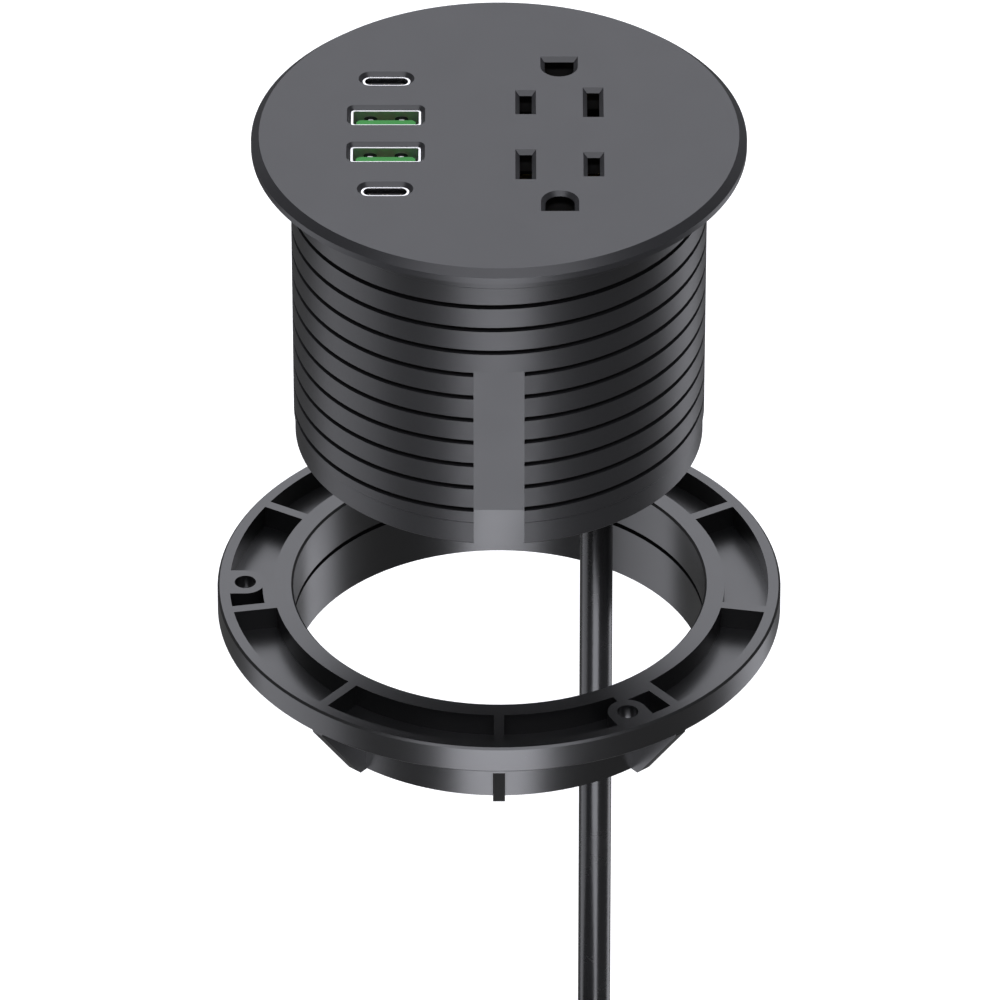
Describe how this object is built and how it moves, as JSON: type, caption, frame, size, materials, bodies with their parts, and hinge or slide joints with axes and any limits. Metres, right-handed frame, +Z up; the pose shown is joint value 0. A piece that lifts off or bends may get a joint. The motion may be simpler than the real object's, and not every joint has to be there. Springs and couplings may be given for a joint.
{
  "type": "in-desk power grommet",
  "caption": "Round in-desk power grommet: flanged threaded barrel with mains outlets and charging ports, a threaded clamp ring and a hanging mains lead.",
  "frame": {"origin": "centre of the flange's underside plane, where it meets the desk top", "axes": "+Z up out of the desk along the barrel axis, -Y to the front of the barrel where its flat key strip and skirt notch are, +X to the side of the mains outlets"},
  "size_m": [0.1471, 0.1486, 0.2478],
  "materials": {
    "housing": "fine matt moulded plastic, dark grey",
    "face": "satin moulded plastic, dark grey",
    "ring": "fine matt moulded plastic, dark grey",
    "inner_plastic": "black moulded insulator",
    "brass": "stamped brass",
    "usb_shell": "bright plated stamped steel",
    "green_tongue": "green moulded plastic",
    "black_tongue": "black moulded plastic",
    "gold_contact": "gold-plated spring contact",
    "circuit_board": "green solder mask",
    "ferrite": "sintered ferrite",
    "yellow_tape": "yellow winding tape",
    "can_sleeve": "shrink sleeve over an aluminium can",
    "capacitor_box": "moulded capacitor box",
    "copper_winding": "enamelled copper wire",
    "chip": "moulded semiconductor package",
    "glass_tube": "ceramic fuse tube",
    "wire_line": "black wire insulation",
    "wire_neutral": "white wire insulation",
    "wire_earth": "green wire insulation",
    "screw_steel": "zinc-plated steel",
    "cord_jacket": "black flexible jacket",
    "plug_rubber": "black moulded plug",
    "plug_metal": "nickel-plated brass blade",
    "tie_fabric": "woven hook-and-loop strap"
  },
  "bodies": {
    "housing": {"barrel": "housing", "board_link": "chip", "board_screws": "screw_steel", "bottom_cover": "housing", "choke": "copper_winding", "clamp_screws": "screw_steel", "coil_tie": "tie_fabric", "contact_cover": "inner_plastic", "controller_chips": "chip", "cord_clamp": "inner_plastic", "cord_coil": "cord_jacket", "cord_tail": "cord_jacket", "cover_screws": "screw_steel", "earth_bus": "brass", "earth_wire": "wire_earth", "face_plate": "face", "face_screws": "screw_steel", "filter_capacitor": "capacitor_box", "fuse": "glass_tube", "line_bus": "brass", "line_wire": "wire_line", "main_board": "circuit_board", "neutral_bus": "brass", "neutral_wire": "wire_neutral", "outlet_carrier": "inner_plastic", "plug_blades": "plug_metal", "plug_body": "plug_rubber", "plug_earth_pin": "plug_metal", "port_board": "circuit_board", "power_cord": "cord_jacket", "rectifier": "chip", "smoothing_capacitors": "can_sleeve", "strain_relief": "plug_rubber", "transformer_core": "ferrite", "transformer_winding": "yellow_tape", "usb_a_contacts_front": "gold_contact", "usb_a_contacts_rear": "gold_contact", "usb_a_shell_front": "usb_shell", "usb_a_shell_rear": "usb_shell", "usb_a_tongue_front": "green_tongue", "usb_a_tongue_rear": "green_tongue", "usb_c_shell_front": "usb_shell", "usb_c_shell_rear": "usb_shell", "usb_c_tongue_front": "black_tongue", "usb_c_tongue_rear": "black_tongue"},
    "ring": {"clamp_ring": "ring"}
  },
  "joints": [
    {"name": "clamp_ring_travel", "type": "slide", "parent": "housing", "child": "ring", "axis": [0, 0, 1], "range_m": [0, 0.0948]}
  ]
}
